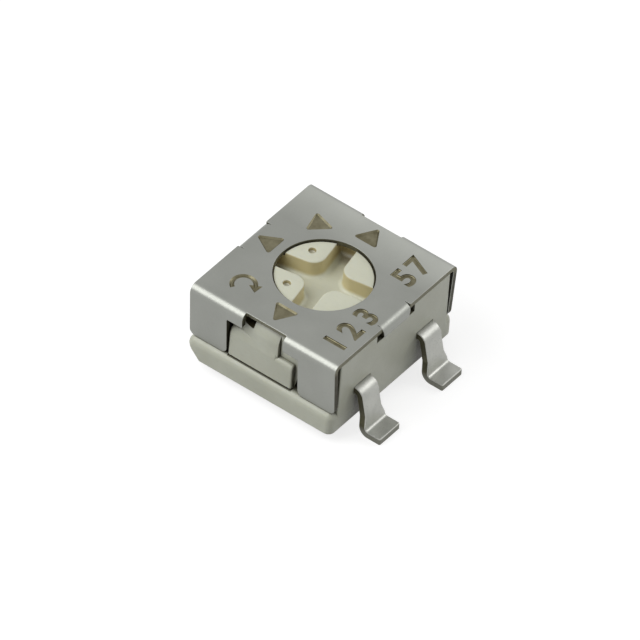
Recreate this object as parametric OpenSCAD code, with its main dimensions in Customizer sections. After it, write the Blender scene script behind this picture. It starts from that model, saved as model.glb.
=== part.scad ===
// Sealed single-turn trimmer potentiometer with gull-wing leads, for surface mounting.
// Millimetres. +Z is up and the feet rest on z = 0. The rotor turns about the Z axis.
// The two end terminals leave the -Y face and the wiper terminal leaves the +Y face.

/* [Cover] */
// Width of the cover over its two folded sides
cover_x = 4.5; // [4.45:0.05:4.8]
// Length of the cover between its two cut edges, which are flush with the body
cover_y = 4.07; // [4.04:0.01:4.3]
// Thickness of the cover's sheet
sheet_t = 0.13; // [0.1:0.01:0.15]
// Diameter of the round hole over the rotor
cover_hole_d = 2.32; // [2.1:0.02:2.5]
// Outside radius of the two long folds
fold_r = 0.2; // [0.18:0.01:0.24]
// Angle by which the folded sides lean inward, in degrees
side_lean = 4.5; // [2:0.5:5]
// Width of the open window between the two legs of a folded side
window_w = 2; // [1.8:0.1:2.2]
// Depth of the window's upper edge below the top face
window_drop = 0.4; // [0.35:0.01:0.5]
// Width of the relief notch that runs through the fold above the window
notch_w = 1.13; // [0.8:0.01:1.4]
// Reach of the relief notch into the top face, from the cover's side
notch_reach = 0.15; // [0.1:0.01:0.2]
// Radius of the legs' lower corners
leg_corner_r = 0.15; // [0.05:0.01:0.2]
// Width of a locking tab where it leaves the top face
tab_root_w = 1; // [0.94:0.02:1.1]
// Width of a locking tab at its lower edge
tab_tip_w = 0.9; // [0.7:0.02:0.92]
// Depth of a locking tab's lower edge below the top face
tab_drop = 0.32; // [0.3:0.01:0.4]
// Outside radius of a locking tab's fold
tab_fold_r = 0.18; // [0.15:0.01:0.2]
// How far a locking tab stands out past the cut edge
tab_proud = 0.035; // [0:0.005:0.05]

/* [Body] */
// Height of the moulded body, from its underside to the cover's sheet
body_h = 1.97; // [1.9:0.01:2.1]
// Height of the body's underside above the board
standoff = 0.26; // [0.2:0.01:0.35]
// Height of the skirt that the cover's legs stand over
skirt_h = 0.58; // [0.5:0.01:0.65]
// Radius of the skirt's upright corners
skirt_corner_r = 0.17; // [0.1:0.01:0.25]
// Reach of the lower chamfer under the wiper terminal, along Y
chamfer_y = 0.4; // [0.2:0.01:0.42]
// Height of the lower chamfer under the wiper terminal
chamfer_z = 0.41; // [0.2:0.01:0.5]
// Distance from the rotor's axis to the front block's inner end
front_block_y = 0.35; // [0.3:0.01:0.5]
// Distance from the rotor's axis to the back block's inner end
back_block_y = 1.1; // [1.05:0.01:1.15]
// Depth of the barrel's side, between the two blocks, behind the window pads' faces
barrel_inset = 0.02; // [0.01:0.005:0.06]
// Radius of the rounding on the barrel's upper edge
barrel_edge_r = 0.3; // [0.1:0.01:0.34]
// Height above the skirt of the pad that fills each window's lower part
pad_h = 0.7; // [0.6:0.01:0.8]
// Radius of the rounding along the top of a window pad
pad_edge_r = 0.12; // [0.04:0.01:0.13]
// Depth of a window pad's face behind the outside of the cover's legs
pad_inset = 0.01; // [0:0.005:0.03]
// Reach of a window pad from the rotor's axis toward the end terminals
pad_front = 0.8; // [0.7:0.01:0.9]
// Reach of a window pad from the rotor's axis toward the wiper terminal
pad_back = 0.97; // [0.9:0.01:0.98]
// Depth of the moulding relief beside each window pad
relief_depth = 0.22; // [0.1:0.01:0.25]
// Height of that relief above the skirt
relief_h = 0.72; // [0.5:0.01:0.8]
// Width of that relief along Y, at its foot
relief_w = 0.34; // [0.2:0.01:0.4]
// Free play around each locking tab in its recess
tab_play = 0.02; // [0.01:0.005:0.03]
// Width of the recess beside a locking tab's tip, on each side
tab_side_play = 0.24; // [0.2:0.01:0.3]

/* [Rotor] */
// Radius of the rotor's lower hub
hub_r = 1.24; // [1.2:0.01:1.26]
// Running clearance between the rotor and the body, on the radius
run_gap = 0.03; // [0.02:0.01:0.05]
// Gap between the rotor's shoulder and the cover's sheet
top_gap = 0.02; // [0.01:0.005:0.04]
// Depth of the rotor's raised middle below the cover's top face
crown_drop = 0.05; // [0:0.01:0.08]
// Gap between the rotor's raised middle and the rim of the cover's hole
crown_gap = 0.03; // [0.02:0.01:0.06]
// Depth that the hub reaches into the hole of the body's web
pilot_h = 0.06; // [0.04:0.01:0.08]
// Width of the cross slot
slot_w = 0.48; // [0.4:0.01:0.52]
// Depth of the cross slot
slot_depth = 0.45; // [0.35:0.01:0.5]
// Length of each arm of the cross slot, from the axis
slot_reach = 1.32; // [1.2:0.01:1.4]
// Radius of the rounded inner corners between the arms
slot_corner_r = 0.32; // [0.2:0.01:0.36]
// Radius of the two index dimples
dimple_r = 0.09; // [0.06:0.01:0.12]
// Depth of the two index dimples
dimple_depth = 0.1; // [0.05:0.01:0.15]
// Distance of the index dimples from the axis
dimple_dist = 0.87; // [0.8:0.01:0.95]
// Angle of the slot from the X axis as the rotor is set, in degrees
rotor_set = 10; // [0:1:20]
// Travel of the rotor to each side of its middle, in degrees
half_travel = 105; // [90:1:110]
// Radial height of the stop lug and of the recess that it runs in
lug_h = 0.17; // [0.12:0.01:0.18]
// Height of the stop lug along the axis
lug_tall = 0.2; // [0.15:0.01:0.3]
// Half of the angle that the stop lug covers, in degrees
lug_half = 9; // [6:1:12]

/* [Seal] */
// Thickness of the sealing ring's round section
ring_d = 0.3; // [0.26:0.01:0.32]
// Gap on each side of the sealing ring's section
ring_gap = 0.02; // [0.01:0.005:0.03]

/* [Element] */
// Width of the ceramic plate along X
plate_x = 3.04; // [2.96:0.02:3.06]
// Thickness of the ceramic plate
plate_t = 0.4; // [0.3:0.01:0.45]
// Distance from the axis to the ceramic plate's front edge
plate_front = 1.57; // [1.54:0.01:1.6]
// Distance from the axis to the ceramic plate's back edge
plate_back = 1.42; // [1.4:0.01:1.44]
// Gap between the ceramic plate and its pocket
plate_gap = 0.03; // [0.01:0.01:0.05]
// Thickness of the printed conductors and of the resistive track
print_t = 0.02; // [0.01:0.005:0.03]
// Middle radius of the resistive track
track_r = 1; // [0.95:0.01:1.02]
// Width of the resistive track
track_w = 0.3; // [0.2:0.01:0.32]
// Angle of the gap between the two ends of the track, in degrees
track_gap = 110; // [100:1:120]
// Angle that each end pad takes up inside that gap, in degrees
pad_sweep = 22; // [15:1:25]
// Width of the conductors along the ceramic plate's sides
trace_w = 0.22; // [0.15:0.01:0.25]
// Distance of those conductors from the ceramic plate's edges
trace_margin = 0.06; // [0.04:0.01:0.1]
// Radius of the collector disc in the middle
collector_r = 0.36; // [0.3:0.01:0.4]
// Depth of the sealing compound's face above the body's underside
back_recess = 0.02; // [0.01:0.005:0.05]

/* [Wiper] */
// Thickness of the wiper's spring sheet
wiper_t = 0.05; // [0.04:0.005:0.06]
// Radius of the wiper's disc
wiper_disc_r = 0.78; // [0.72:0.01:0.8]
// Radius of the hole in the wiper's disc
wiper_hole_r = 0.5; // [0.45:0.01:0.52]
// Width of a contact finger
finger_w = 0.16; // [0.1:0.01:0.2]
// Gap between the two fingers that run on the track
finger_split = 0.06; // [0.04:0.01:0.1]
// Gap between a contact and the print that it runs on
contact_gap = 0.01; // [0.005:0.005:0.02]

/* [Leads] */
// Distance between the middles of the two end terminals
lead_pitch = 2.3; // [2.2:0.02:2.4]
// Thickness of the lead strip
lead_t = 0.18; // [0.12:0.01:0.2]
// Width of the lead strip
lead_w = 0.58; // [0.5:0.01:0.62]
// Width of the foot
foot_w = 0.74; // [0.64:0.01:0.8]
// Height of the flare above the heel, where the strip widens to the foot
flare_h = 0.24; // [0.1:0.01:0.3]
// Length of the foot past its bend
foot_l = 0.346; // [0.3:0.002:0.5]
// Height of the strip's upper face above the body's underside
exit_h = 0.95; // [0.9:0.01:0.96]
// Angle of the leads' outer legs from upright, in degrees
leg_slope = 13; // [8:1:16]
// Inside radius of the bends in the leads
lead_bend_r = 0.08; // [0.06:0.01:0.1]
// Straight length of the lead outside the body before its first bend
lead_run = 0.01; // [0.005:0.005:0.04]
// Thickness of the body's wall above the buried strip
roof_t = 0.09; // [0.07:0.01:0.12]
// Length of strip that lies over the ceramic plate's pad
land_l = 0.2; // [0.12:0.01:0.22]
// Height of the solder under the strip
solder_t = 0.02; // [0.01:0.005:0.03]
// Length of the solder's fillet in front of the strip
fillet_l = 0.06; // [0.04:0.01:0.08]

/* [Hidden] */

$fn = 96;
eps = 0.01;              // overshoot of a cut past the face that it opens
far = 10;                // longer than any piece of the part

// Heights, upward from the board
base_z = standoff;
ledge_z = base_z + skirt_h;
body_top = base_z + body_h;
cover_top = body_top + sheet_t;
strip_z0 = base_z + exit_h - lead_t;
strip_z1 = base_z + exit_h;
print_z1 = strip_z0 - solder_t;
plate_z1 = print_z1 - print_t;
plate_z0 = plate_z1 - plate_t;
web_top = strip_z1 + roof_t;
ring_z = web_top + ring_gap + ring_d / 2;
disc_z0 = web_top + ring_d + 2 * ring_gap;
shoulder_top = body_top - top_gap;
crown_top = cover_top - crown_drop;
hub_z0 = web_top - pilot_h;
lug_z0 = shoulder_top - lug_tall;

// Radii about the rotor's axis
hub_hole_r = hub_r + run_gap;
ring_r = hub_r + ring_gap + ring_d / 2;
well_r = hub_r + ring_d + 2 * ring_gap;
disc_r = well_r - run_gap;
lug_r = disc_r + lug_h;
stop_r = lug_r + run_gap;
crown_r = cover_hole_d / 2 - crown_gap;

// The cover's folded sides
fold_x = cover_x / 2 - fold_r;
fold_z = cover_top - fold_r;
foot_gap = 0.01;
side_l = (fold_z - ledge_z - foot_gap - fold_r * sin(side_lean)) / cos(side_lean);
side_gap = 0.02;
// Half width of the body above its skirt: just inside the feet of the leaning sides
body_side = fold_x + (fold_r - sheet_t) * cos(side_lean) - side_l * sin(side_lean) - side_gap;
body_front = cover_y / 2;
// Half width of the body over its window pads
pad_side = body_side + side_gap + sheet_t * cos(side_lean) - pad_inset;
barrel_r = pad_side - barrel_inset;

// Locking tabs
tab_face = body_front + tab_proud;
tab_fold_y = tab_face - tab_fold_r;
tab_z0 = cover_top - tab_drop;
tab_slope_z = cover_top - tab_fold_r / 2;

// Leads, in a plane of distance from the axis (outward) and height
bend_mid = lead_bend_r + lead_t / 2;
shoulder_u = body_front + lead_run;
shoulder_z = strip_z1 - lead_t - lead_bend_r;
heel_z = lead_t + lead_bend_r;
leg_l = (shoulder_z - heel_z + 2 * bend_mid * sin(leg_slope)) / cos(leg_slope);
heel_u = shoulder_u + 2 * bend_mid * cos(leg_slope) + leg_l * sin(leg_slope);
lead_reach = heel_u + foot_l;
land_front = plate_front - land_l;
land_back = plate_back - land_l / 2;
pocket_front = plate_front + plate_gap;
pocket_back = plate_back + plate_gap;
pocket_x = plate_x / 2 + plate_gap;

// The rotor's wiper stands in the middle of its travel at -Y, opposite the track's gap
wiper_dir = -90 + rotor_set;
stop_dir = -90;
stop_play = 1;
stop_half = half_travel + lug_half + stop_play;
contact_r = track_r;
contact_z = print_z1 + contact_gap;

tin = [0.72, 0.73, 0.72];
silver_print = [0.78, 0.77, 0.72];
pale_plastic = [0.80, 0.81, 0.72];

// Points along a round stretch of an outline
function arc(mid, r, from, to, steps = 10) =
    [for (i = [0:steps]) let (a = from + (to - from) * i / steps) mid + r * [cos(a), sin(a)]];

// A block between two opposite corners
module block(low, high) {
    translate(low) cube(high - low);
}

// Flat ring sector between two angles, from inside radius r with width w
module sector(r, w, from, to) {
    mid = (from + to) / 2;
    half = (to - from) / 2;
    reach = 2 * (r + w);
    intersection() {
        difference() {
            circle(r + w);
            circle(r);
        }
        rotate(mid) polygon([[0, 0], [reach, -reach * tan(half)], [reach, reach * tan(half)]]);
    }
}

// Solid ring sector, for sweeps of more than half a turn
module ring_wedge(r0, r1, z0, z1, from, to) {
    rotate([0, 0, from]) rotate_extrude(angle = to - from)
        translate([r0, z0]) square([r1 - r0, z1 - z0]);
}

// Rectangle with four rounded corners, centred
module rounded_rect(w, l, r) {
    square([w - 2 * r, l], center = true);
    square([w, l - 2 * r], center = true);
    for (sx = [-1, 1], sy = [-1, 1])
        translate([sx * (w / 2 - r), sy * (l / 2 - r)]) circle(r);
}

// Turns a profile drawn as (distance from the axis, height) to the -Y side, centred on x
module front_profile(w) {
    rotate([90, 0, -90]) translate([0, 0, -w / 2]) linear_extrude(w) children();
}

// Moulded body

// Round wall between the two blocks
module barrel() {
    intersection() {
        rotate_extrude() difference() {
            translate([0, base_z]) square([barrel_r, body_h]);
            translate([barrel_r - barrel_edge_r, body_top - barrel_edge_r]) difference() {
                square(2 * barrel_edge_r);
                circle(barrel_edge_r);
            }
        }
        block([-far, -front_block_y, 0], [far, back_block_y + eps, far]);
    }
}

// The two window pads, drawn as one bar from side to side
module window_pads() {
    rise = ledge_z + pad_h - pad_edge_r;
    translate([0, pad_back, 0]) rotate([90, 0, 0]) linear_extrude(pad_front + pad_back)
        polygon(concat([[-pad_side, ledge_z - eps], [pad_side, ledge_z - eps]],
                       arc([pad_side - pad_edge_r, rise], pad_edge_r, 0, 90),
                       arc([pad_edge_r - pad_side, rise], pad_edge_r, 90, 180)));
}

module skirt() {
    translate([0, 0, base_z]) linear_extrude(skirt_h)
        rounded_rect(cover_x, 2 * body_front, skirt_corner_r);
}

module body_chamfer() {
    rotate([90, 0, 90]) translate([0, 0, -far / 2]) linear_extrude(far)
        polygon([[body_front + eps, base_z - eps],
                 [body_front - chamfer_y - eps * chamfer_y / chamfer_z, base_z - eps],
                 [body_front + eps, base_z + chamfer_z + eps * chamfer_z / chamfer_y]]);
}

module side_relief(side) {
    translate([side * (body_side - relief_depth / 2), 0, 0])
        rotate([90, 0, 90]) translate([0, 0, -relief_depth / 2 - (side < 0 ? eps : 0)])
            linear_extrude(relief_depth + eps)
                polygon([[-pad_front, ledge_z], [-pad_front - relief_w, ledge_z],
                         [-pad_front - relief_w, ledge_z + relief_h],
                         [-pad_front - relief_w / 2, ledge_z + relief_h]]);
}

module tab_recess() {
    half = tab_tip_w / 2 + tab_side_play;
    block([-half, -tab_face - eps, tab_z0 - tab_play],
          [half, -tab_face + sheet_t + tab_play, body_top + eps]);
    // The tab's fold passes down through this step
    block([-tab_root_w / 2, -tab_face - eps, cover_top - tab_fold_r - tab_play],
          [tab_root_w / 2, -tab_fold_y + tab_play, body_top + eps]);
}

// Slot for a buried strip and the space over the pad that it lands on
module front_lead_cut(x) {
    block([x - lead_w / 2, -body_front - eps, strip_z0],
          [x + lead_w / 2, -land_front, strip_z1]);
    block([x - lead_w / 2 - eps, -plate_front, print_z1 - eps],
          [x + lead_w / 2 + eps, -land_front + fillet_l + plate_gap, strip_z1]);
}

module back_lead_cut() {
    block([-lead_w / 2, land_back, strip_z0], [lead_w / 2, body_front + eps, strip_z1]);
    block([-lead_w / 2 - eps, land_back - fillet_l - plate_gap, print_z1 - eps],
          [lead_w / 2 + eps, plate_back, strip_z1]);
}

module housing() {
    color(pale_plastic) difference() {
        union() {
            skirt();
            barrel();
            window_pads();
            block([-body_side, -body_front, base_z], [body_side, -front_block_y, body_top]);
            block([-body_side, back_block_y, base_z], [body_side, body_front, body_top]);
        }
        body_chamfer();
        block([-pocket_x, -pocket_front, base_z - eps], [pocket_x, pocket_back, print_z1]);
        translate([0, 0, base_z]) cylinder(r = hub_hole_r, h = body_h);
        translate([0, 0, web_top]) cylinder(r = well_r, h = body_h);
        ring_wedge(well_r / 2, stop_r, lug_z0 - run_gap, body_top + eps,
                   stop_dir - stop_half, stop_dir + stop_half);
        tab_recess();
        mirror([0, 1, 0]) tab_recess();
        for (side = [-1, 1]) {
            side_relief(side);
            front_lead_cut(side * lead_pitch / 2);
        }
        back_lead_cut();
    }
}

// Stamped and folded cover

module cover_section() {
    translate([-fold_x, body_top]) square([2 * fold_x, sheet_t]);
    for (side = [0, 1]) mirror([side, 0]) translate([fold_x, fold_z]) {
        sector(fold_r - sheet_t, sheet_t, -side_lean, 90);
        rotate(-side_lean) translate([fold_r - sheet_t, -side_l]) square([sheet_t, side_l]);
    }
}

// Outline of the sheet seen from the side: what is left of the folded sides
module side_outline() {
    leg = body_front - window_w / 2;
    difference() {
        union() {
            translate([-body_front, body_top - window_drop + sheet_t])
                square([2 * body_front, window_drop]);
            for (side = [-1, 1])
                translate([side * (body_front - leg / 2), (ledge_z + cover_top) / 2])
                    rounded_rect(leg, cover_top - ledge_z - 2 * foot_gap, leg_corner_r);
        }
    }
}

module tab_section() {
    translate([tab_fold_y, cover_top - tab_fold_r]) sector(tab_fold_r - sheet_t, sheet_t, 0, 90);
    translate([tab_face - sheet_t, tab_z0]) square([sheet_t, cover_top - tab_fold_r - tab_z0]);
    translate([tab_fold_y - 2 * sheet_t, body_top]) square([2 * sheet_t, sheet_t]);
}

module tab() {
    intersection() {
        front_profile(tab_root_w) tab_section();
        rotate([90, 0, 0]) linear_extrude(far)
            polygon([[-tab_root_w / 2, cover_top + eps], [tab_root_w / 2, cover_top + eps],
                     [tab_root_w / 2, tab_slope_z], [tab_tip_w / 2, tab_z0 - eps],
                     [-tab_tip_w / 2, tab_z0 - eps], [-tab_root_w / 2, tab_slope_z]]);
    }
}

module cover() {
    notch_x = cover_x / 2 - notch_reach;
    color([0.66, 0.66, 0.64]) {
        difference() {
            intersection() {
                rotate([90, 0, 0]) translate([0, 0, -body_front])
                    linear_extrude(2 * body_front) cover_section();
                rotate([90, 0, 90]) translate([0, 0, -cover_x]) linear_extrude(2 * cover_x)
                    side_outline();
            }
            translate([0, 0, body_top - eps]) cylinder(d = cover_hole_d, h = sheet_t + 2 * eps);
            for (side = [-1, 1]) {
                block([min(side * notch_x, side * cover_x), -notch_w / 2, ledge_z],
                      [max(side * notch_x, side * cover_x), notch_w / 2, cover_top + eps]);
                block([-tab_root_w / 2, side > 0 ? tab_fold_y : -far, body_top - eps],
                      [tab_root_w / 2, side > 0 ? far : -tab_fold_y, cover_top + eps]);
            }
        }
        tab();
        mirror([0, 1, 0]) tab();
    }
}

// Turning parts

module cross_slot() {
    arm = slot_w / 2 + slot_corner_r;
    square([2 * slot_reach, slot_w], center = true);
    square([slot_w, 2 * slot_reach], center = true);
    for (turn = [0:90:270]) rotate(turn) difference() {
        square(arm);
        translate([arm, arm]) circle(slot_corner_r);
    }
}

module rotor() {
    color([0.86, 0.86, 0.76]) rotate([0, 0, rotor_set]) difference() {
        union() {
            translate([0, 0, hub_z0]) cylinder(r = hub_r, h = shoulder_top - hub_z0);
            translate([0, 0, disc_z0]) cylinder(r = disc_r, h = shoulder_top - disc_z0);
            translate([0, 0, disc_z0]) cylinder(r = crown_r, h = crown_top - disc_z0);
            ring_wedge(disc_r / 2, lug_r, lug_z0, shoulder_top,
                       stop_dir - lug_half, stop_dir + lug_half);
        }
        translate([0, 0, crown_top - slot_depth]) linear_extrude(slot_depth + eps) cross_slot();
        for (turn = [45, 135])
            rotate([0, 0, turn]) translate([dimple_dist, 0, crown_top - dimple_depth])
                cylinder(r = dimple_r, h = dimple_depth + eps, $fn = 32);
    }
}

module seal_ring() {
    color([0.55, 0.2, 0.12]) rotate_extrude() translate([ring_r, ring_z]) circle(ring_d / 2, $fn = 32);
}

// Side view of a contact finger, from the disc at (0, 0) out and down to a rounded toe
module finger_section(reach, drop) {
    toe = 1.2 * wiper_t;
    heel = reach - toe;
    polygon([[-wiper_t, 0], [0, 0], [heel, toe - drop], [heel + wiper_t, toe - drop],
             [heel + wiper_t, 2 * toe - drop], [0, wiper_t], [-wiper_t, wiper_t]]);
    translate([reach, toe - drop]) difference() {
        circle(toe, $fn = 32);
        circle(toe - wiper_t, $fn = 32);
        translate([-toe, eps / 2]) square(2 * toe);
    }
}

module wiper() {
    plate_low = hub_z0 - wiper_t;
    drop = plate_low - contact_z;
    pair = (finger_w + finger_split) / 2;
    color([0.78, 0.68, 0.42]) rotate([0, 0, wiper_dir]) {
        translate([0, 0, plate_low]) linear_extrude(wiper_t) difference() {
            circle(wiper_disc_r);
            circle(wiper_hole_r);
        }
        for (side = [-1, 1])
            translate([wiper_disc_r - wiper_t, side * pair, plate_low]) rotate([90, 0, 0])
                translate([0, 0, -finger_w / 2]) linear_extrude(finger_w)
                    finger_section(contact_r - wiper_disc_r + wiper_t, drop);
        translate([-wiper_hole_r, 0, plate_low]) rotate([90, 0, 0])
            translate([0, 0, -finger_w / 2]) linear_extrude(finger_w)
                finger_section(wiper_hole_r, drop);
    }
}

// Resistive element

module substrate() {
    color([0.93, 0.92, 0.88])
        block([-plate_x / 2, -plate_front, plate_z0], [plate_x / 2, plate_back, plate_z1]);
}

module resistive_track() {
    color([0.12, 0.12, 0.13])
        ring_wedge(track_r - track_w / 2, track_r + track_w / 2, plate_z1, print_z1,
                   90 + track_gap / 2, 450 - track_gap / 2);
}

module collector_pad() {
    color(silver_print) translate([0, 0, plate_z1]) linear_extrude(print_t) {
        circle(collector_r);
        translate([-trace_w / 2, 0]) square([trace_w, plate_back - land_l]);
        translate([-lead_w / 2, plate_back - 1.5 * land_l]) square([lead_w, 1.5 * land_l]);
    }
}

// Conductor from one end of the track round the side of the plate to a front corner
module end_pad(side) {
    outer_r = track_r + track_w / 2;
    edge = plate_x / 2 - trace_margin;
    start = 90 - track_gap / 2;
    top_y = outer_r * sin(start) + trace_w / 2;
    land_x = lead_pitch / 2 - lead_w / 2;
    land_y = -land_front + fillet_l;
    color(silver_print) translate([0, 0, plate_z1]) mirror([side < 0 ? 1 : 0, 0])
        linear_extrude(print_t) difference() {
            union() {
                sector(track_r - track_w / 2, track_w, start, start + pad_sweep);
                translate([track_r * cos(start), top_y - trace_w])
                    square([edge - track_r * cos(start), trace_w]);
                translate([edge - trace_w, -plate_front]) square([trace_w, top_y + plate_front]);
                translate([land_x, -plate_front]) square([edge - land_x, land_y + plate_front]);
            }
            // The track itself, which ends where the pad begins
            difference() {
                circle(outer_r);
                polygon([[0, 0], far * [cos(start), sin(start)], [0, far]]);
            }
        }
}

module end_pad_1() { end_pad(-1); }

module end_pad_3() { end_pad(1); }

module back_seal() {
    color([0.72, 0.66, 0.48])
        block([-pocket_x, -pocket_front, base_z + back_recess], [pocket_x, pocket_back, plate_z0]);
}

// Terminals

module lead_section(inner) {
    shoulder = [shoulder_u, shoulder_z];
    heel = [heel_u, heel_z];
    outer_r = lead_bend_r + lead_t;
    polygon(concat([[inner, strip_z1]],
                   arc(shoulder, outer_r, 90, leg_slope),
                   arc(heel, lead_bend_r, 180 + leg_slope, 270),
                   [[lead_reach, lead_t], [lead_reach, 0]],
                   arc(heel, outer_r, 270, 180 + leg_slope),
                   arc(shoulder, lead_bend_r, leg_slope, 90),
                   [[inner, strip_z0]]));
}

// A lead that leaves the -Y face, its strip starting at the given distance from the axis.
// It is as wide as its foot, and above the heel it is trimmed to the strip's width.
module lead(inner) {
    color(tin) difference() {
        front_profile(foot_w) lead_section(inner);
        for (side = [0, 1]) mirror([side, 0, 0]) rotate([90, 0, 0]) linear_extrude(far)
            polygon([[foot_w / 2, heel_z], [foot_w, heel_z], [foot_w, body_top],
                     [lead_w / 2, body_top], [lead_w / 2, heel_z + flare_h]]);
    }
}

module terminal_1() { translate([-lead_pitch / 2, 0, 0]) lead(land_front); }

module terminal_2() { mirror([0, 1, 0]) lead(land_back); }

module terminal_3() { translate([lead_pitch / 2, 0, 0]) lead(land_front); }

// Solder under the end of a strip, with a fillet up its end face
module solder(inner, outer) {
    color(tin) front_profile(lead_w)
        polygon([[outer, print_z1], [inner - fillet_l, print_z1], [inner, strip_z1 - lead_t / 4],
                 [inner, strip_z0], [outer, strip_z0]]);
}

module solder_1() { translate([-lead_pitch / 2, 0, 0]) solder(land_front, plate_front); }

module solder_2() { mirror([0, 1, 0]) solder(land_back, plate_back); }

module solder_3() { translate([lead_pitch / 2, 0, 0]) solder(land_front, plate_front); }

housing();
cover();
rotor();
seal_ring();
wiper();
substrate();
resistive_track();
collector_pad();
end_pad_1();
end_pad_3();
terminal_1();
terminal_2();
terminal_3();
solder_1();
solder_2();
solder_3();
back_seal();
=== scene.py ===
import math

import bmesh
import bpy
from mathutils import Matrix, Vector


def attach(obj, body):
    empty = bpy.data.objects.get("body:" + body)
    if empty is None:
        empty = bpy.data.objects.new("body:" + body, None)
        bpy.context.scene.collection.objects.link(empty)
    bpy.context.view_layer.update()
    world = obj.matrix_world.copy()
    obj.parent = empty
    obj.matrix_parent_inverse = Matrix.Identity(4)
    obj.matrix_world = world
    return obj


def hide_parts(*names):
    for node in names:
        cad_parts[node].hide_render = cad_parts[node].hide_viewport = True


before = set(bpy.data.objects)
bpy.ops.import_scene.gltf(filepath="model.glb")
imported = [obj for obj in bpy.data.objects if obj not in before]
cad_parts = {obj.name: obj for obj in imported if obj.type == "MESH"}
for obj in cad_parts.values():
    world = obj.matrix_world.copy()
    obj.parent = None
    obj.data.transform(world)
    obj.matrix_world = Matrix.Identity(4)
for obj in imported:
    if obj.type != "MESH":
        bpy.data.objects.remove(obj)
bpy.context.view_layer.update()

# Sealed trimmer potentiometer. All shapes are drawn in millimetres, +Z up, feet on z = 0,
# and scaled to metres when a piece is put in place.
mm = 0.001
past = 0.05                   # how far a cutting tool stands out of what it cuts
weldReach = 0.0005            # points nearer than this become one
leastBend = 0.002             # smallest radius of a rounded corner
quarterTurn = [math.radians(a) for a in (0, 22.5, 45, 67.5, 90)]    # a rounded edge's steps
scene = bpy.context.scene
print("frame loaded")


# Drawing tools

def arcPoints(centre, radius, start, end, steps):
    turns = [math.radians(start + (end - start) * i / steps) for i in range(steps + 1)]
    return [(centre[0] + radius * math.cos(a), centre[1] + radius * math.sin(a)) for a in turns]


def circlePoints(centre, radius, count):
    return arcPoints(centre, radius, 0, 360 * (count - 1) / count, count - 1)


def easedRim(radius, top, ease, steps=3):
    # Profile of a disc's rounded upper edge, from its side to its top
    return [(radius - ease + x, top - ease + z)
            for x, z in arcPoints((0, 0), ease, 0, 90, steps)]


def roundedOutline(corners, radius=0, grow=0, steps=5):
    # A closed outline, anticlockwise, pushed out by grow and with rounded corners.
    # radius is one number, or one for each corner; the point count is the same for any grow.
    points = [Vector(c) for c in corners]
    count = len(points)
    radii = list(radius) if isinstance(radius, (list, tuple)) else [radius] * count
    ways = [(points[(i + 1) % count] - points[i]).normalized() for i in range(count)]
    outline = []
    for i, point in enumerate(points):
        before, after = ways[i - 1], ways[i]
        outA, outB = Vector((before.y, -before.x)), Vector((after.y, -after.x))
        corner = point + grow * (outA + outB) / (1 + outA.dot(outB))
        turn = math.atan2(before.x * after.y - before.y * after.x, before.dot(after))
        if radii[i] == 0 or abs(turn) < 0.001:
            outline.append(tuple(corner))
            continue
        side = 1 if turn > 0 else -1
        bend = max(radii[i] + side * grow, leastBend)
        middle = corner - before * bend * math.tan(abs(turn) / 2) - outA * side * bend
        for k in range(steps + 1):
            a = turn * k / steps
            spoke = Vector((outA.x * math.cos(a) - outA.y * math.sin(a),
                            outA.x * math.sin(a) + outA.y * math.cos(a)))
            outline.append(tuple(middle + spoke * side * bend))
    return outline


def rectangle(low, high):
    return [(low[0], low[1]), (high[0], low[1]), (high[0], high[1]), (low[0], high[1])]


def turned(points, degrees):
    c, s = math.cos(math.radians(degrees)), math.sin(math.radians(degrees))
    return [(x * c - y * s, x * s + y * c) for x, y in points]


def meshObject(name, bm, materials=()):
    bmesh.ops.recalc_face_normals(bm, faces=bm.faces[:])
    mesh = bpy.data.meshes.new(name)
    bm.to_mesh(mesh)
    bm.free()
    for material in materials:
        mesh.materials.append(material)
    piece = bpy.data.objects.new(name, mesh)
    scene.collection.objects.link(piece)
    return piece


def loftedSolid(name, levels, materials=(), along="z"):
    # levels is a list of (place along the axis, outline), all with the same number of points.
    # The outline is (x, y) for z, (x, z) for y and (y, z) for x.
    bm = bmesh.new()
    put = {"z": lambda a, b, h: (a, b, h), "y": lambda a, b, h: (a, h, b),
           "x": lambda a, b, h: (h, a, b)}[along]
    rings = [[bm.verts.new(put(a, b, h)) for a, b in outline] for h, outline in levels]
    for low, high in zip(rings, rings[1:]):
        for i in range(len(low)):
            bm.faces.new((low[i - 1], low[i], high[i], high[i - 1]))
    bm.faces.new(rings[0][::-1])
    bm.faces.new(rings[-1])
    return meshObject(name, bm, materials)


def easedSolid(name, corners, low, high, radius=0, lowEase=0.0, highEase=0.0, materials=(),
               steps=5, along="z"):
    # Solid over an outline, its end edges rounded by the two eases
    insets = [(low + lowEase * (1 - math.cos(a)), lowEase * (1 - math.sin(a)))
              for a in (quarterTurn if lowEase else quarterTurn[:1])]
    insets += [(high - highEase * (1 - math.sin(a)), highEase * (1 - math.cos(a)))
               for a in (quarterTurn if highEase else quarterTurn[:1])]
    return loftedSolid(name, [(h, roundedOutline(corners, radius, -inset, steps))
                              for h, inset in insets], materials, along)


def lathedSolid(name, profile, steps=128, materials=()):
    # profile is (radius, height) from the lower face's edge to the upper face's edge
    return loftedSolid(name, [(z, circlePoints((0, 0), r, steps)) for r, z in profile],
                       materials)


def combine(target, tools, how):
    # Joins the tools to the target, cuts them from it or keeps what they share
    for tool in tools:
        step = target.modifiers.new("step", "BOOLEAN")
        step.operation = how
        step.solver = "EXACT"
        step.material_mode = "TRANSFER"
        step.object = tool
        depsgraph = bpy.context.evaluated_depsgraph_get()
        worked = bpy.data.meshes.new_from_object(target.evaluated_get(depsgraph))
        target.modifiers.clear()
        target.data = worked
        bpy.data.objects.remove(tool)
    return target


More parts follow.
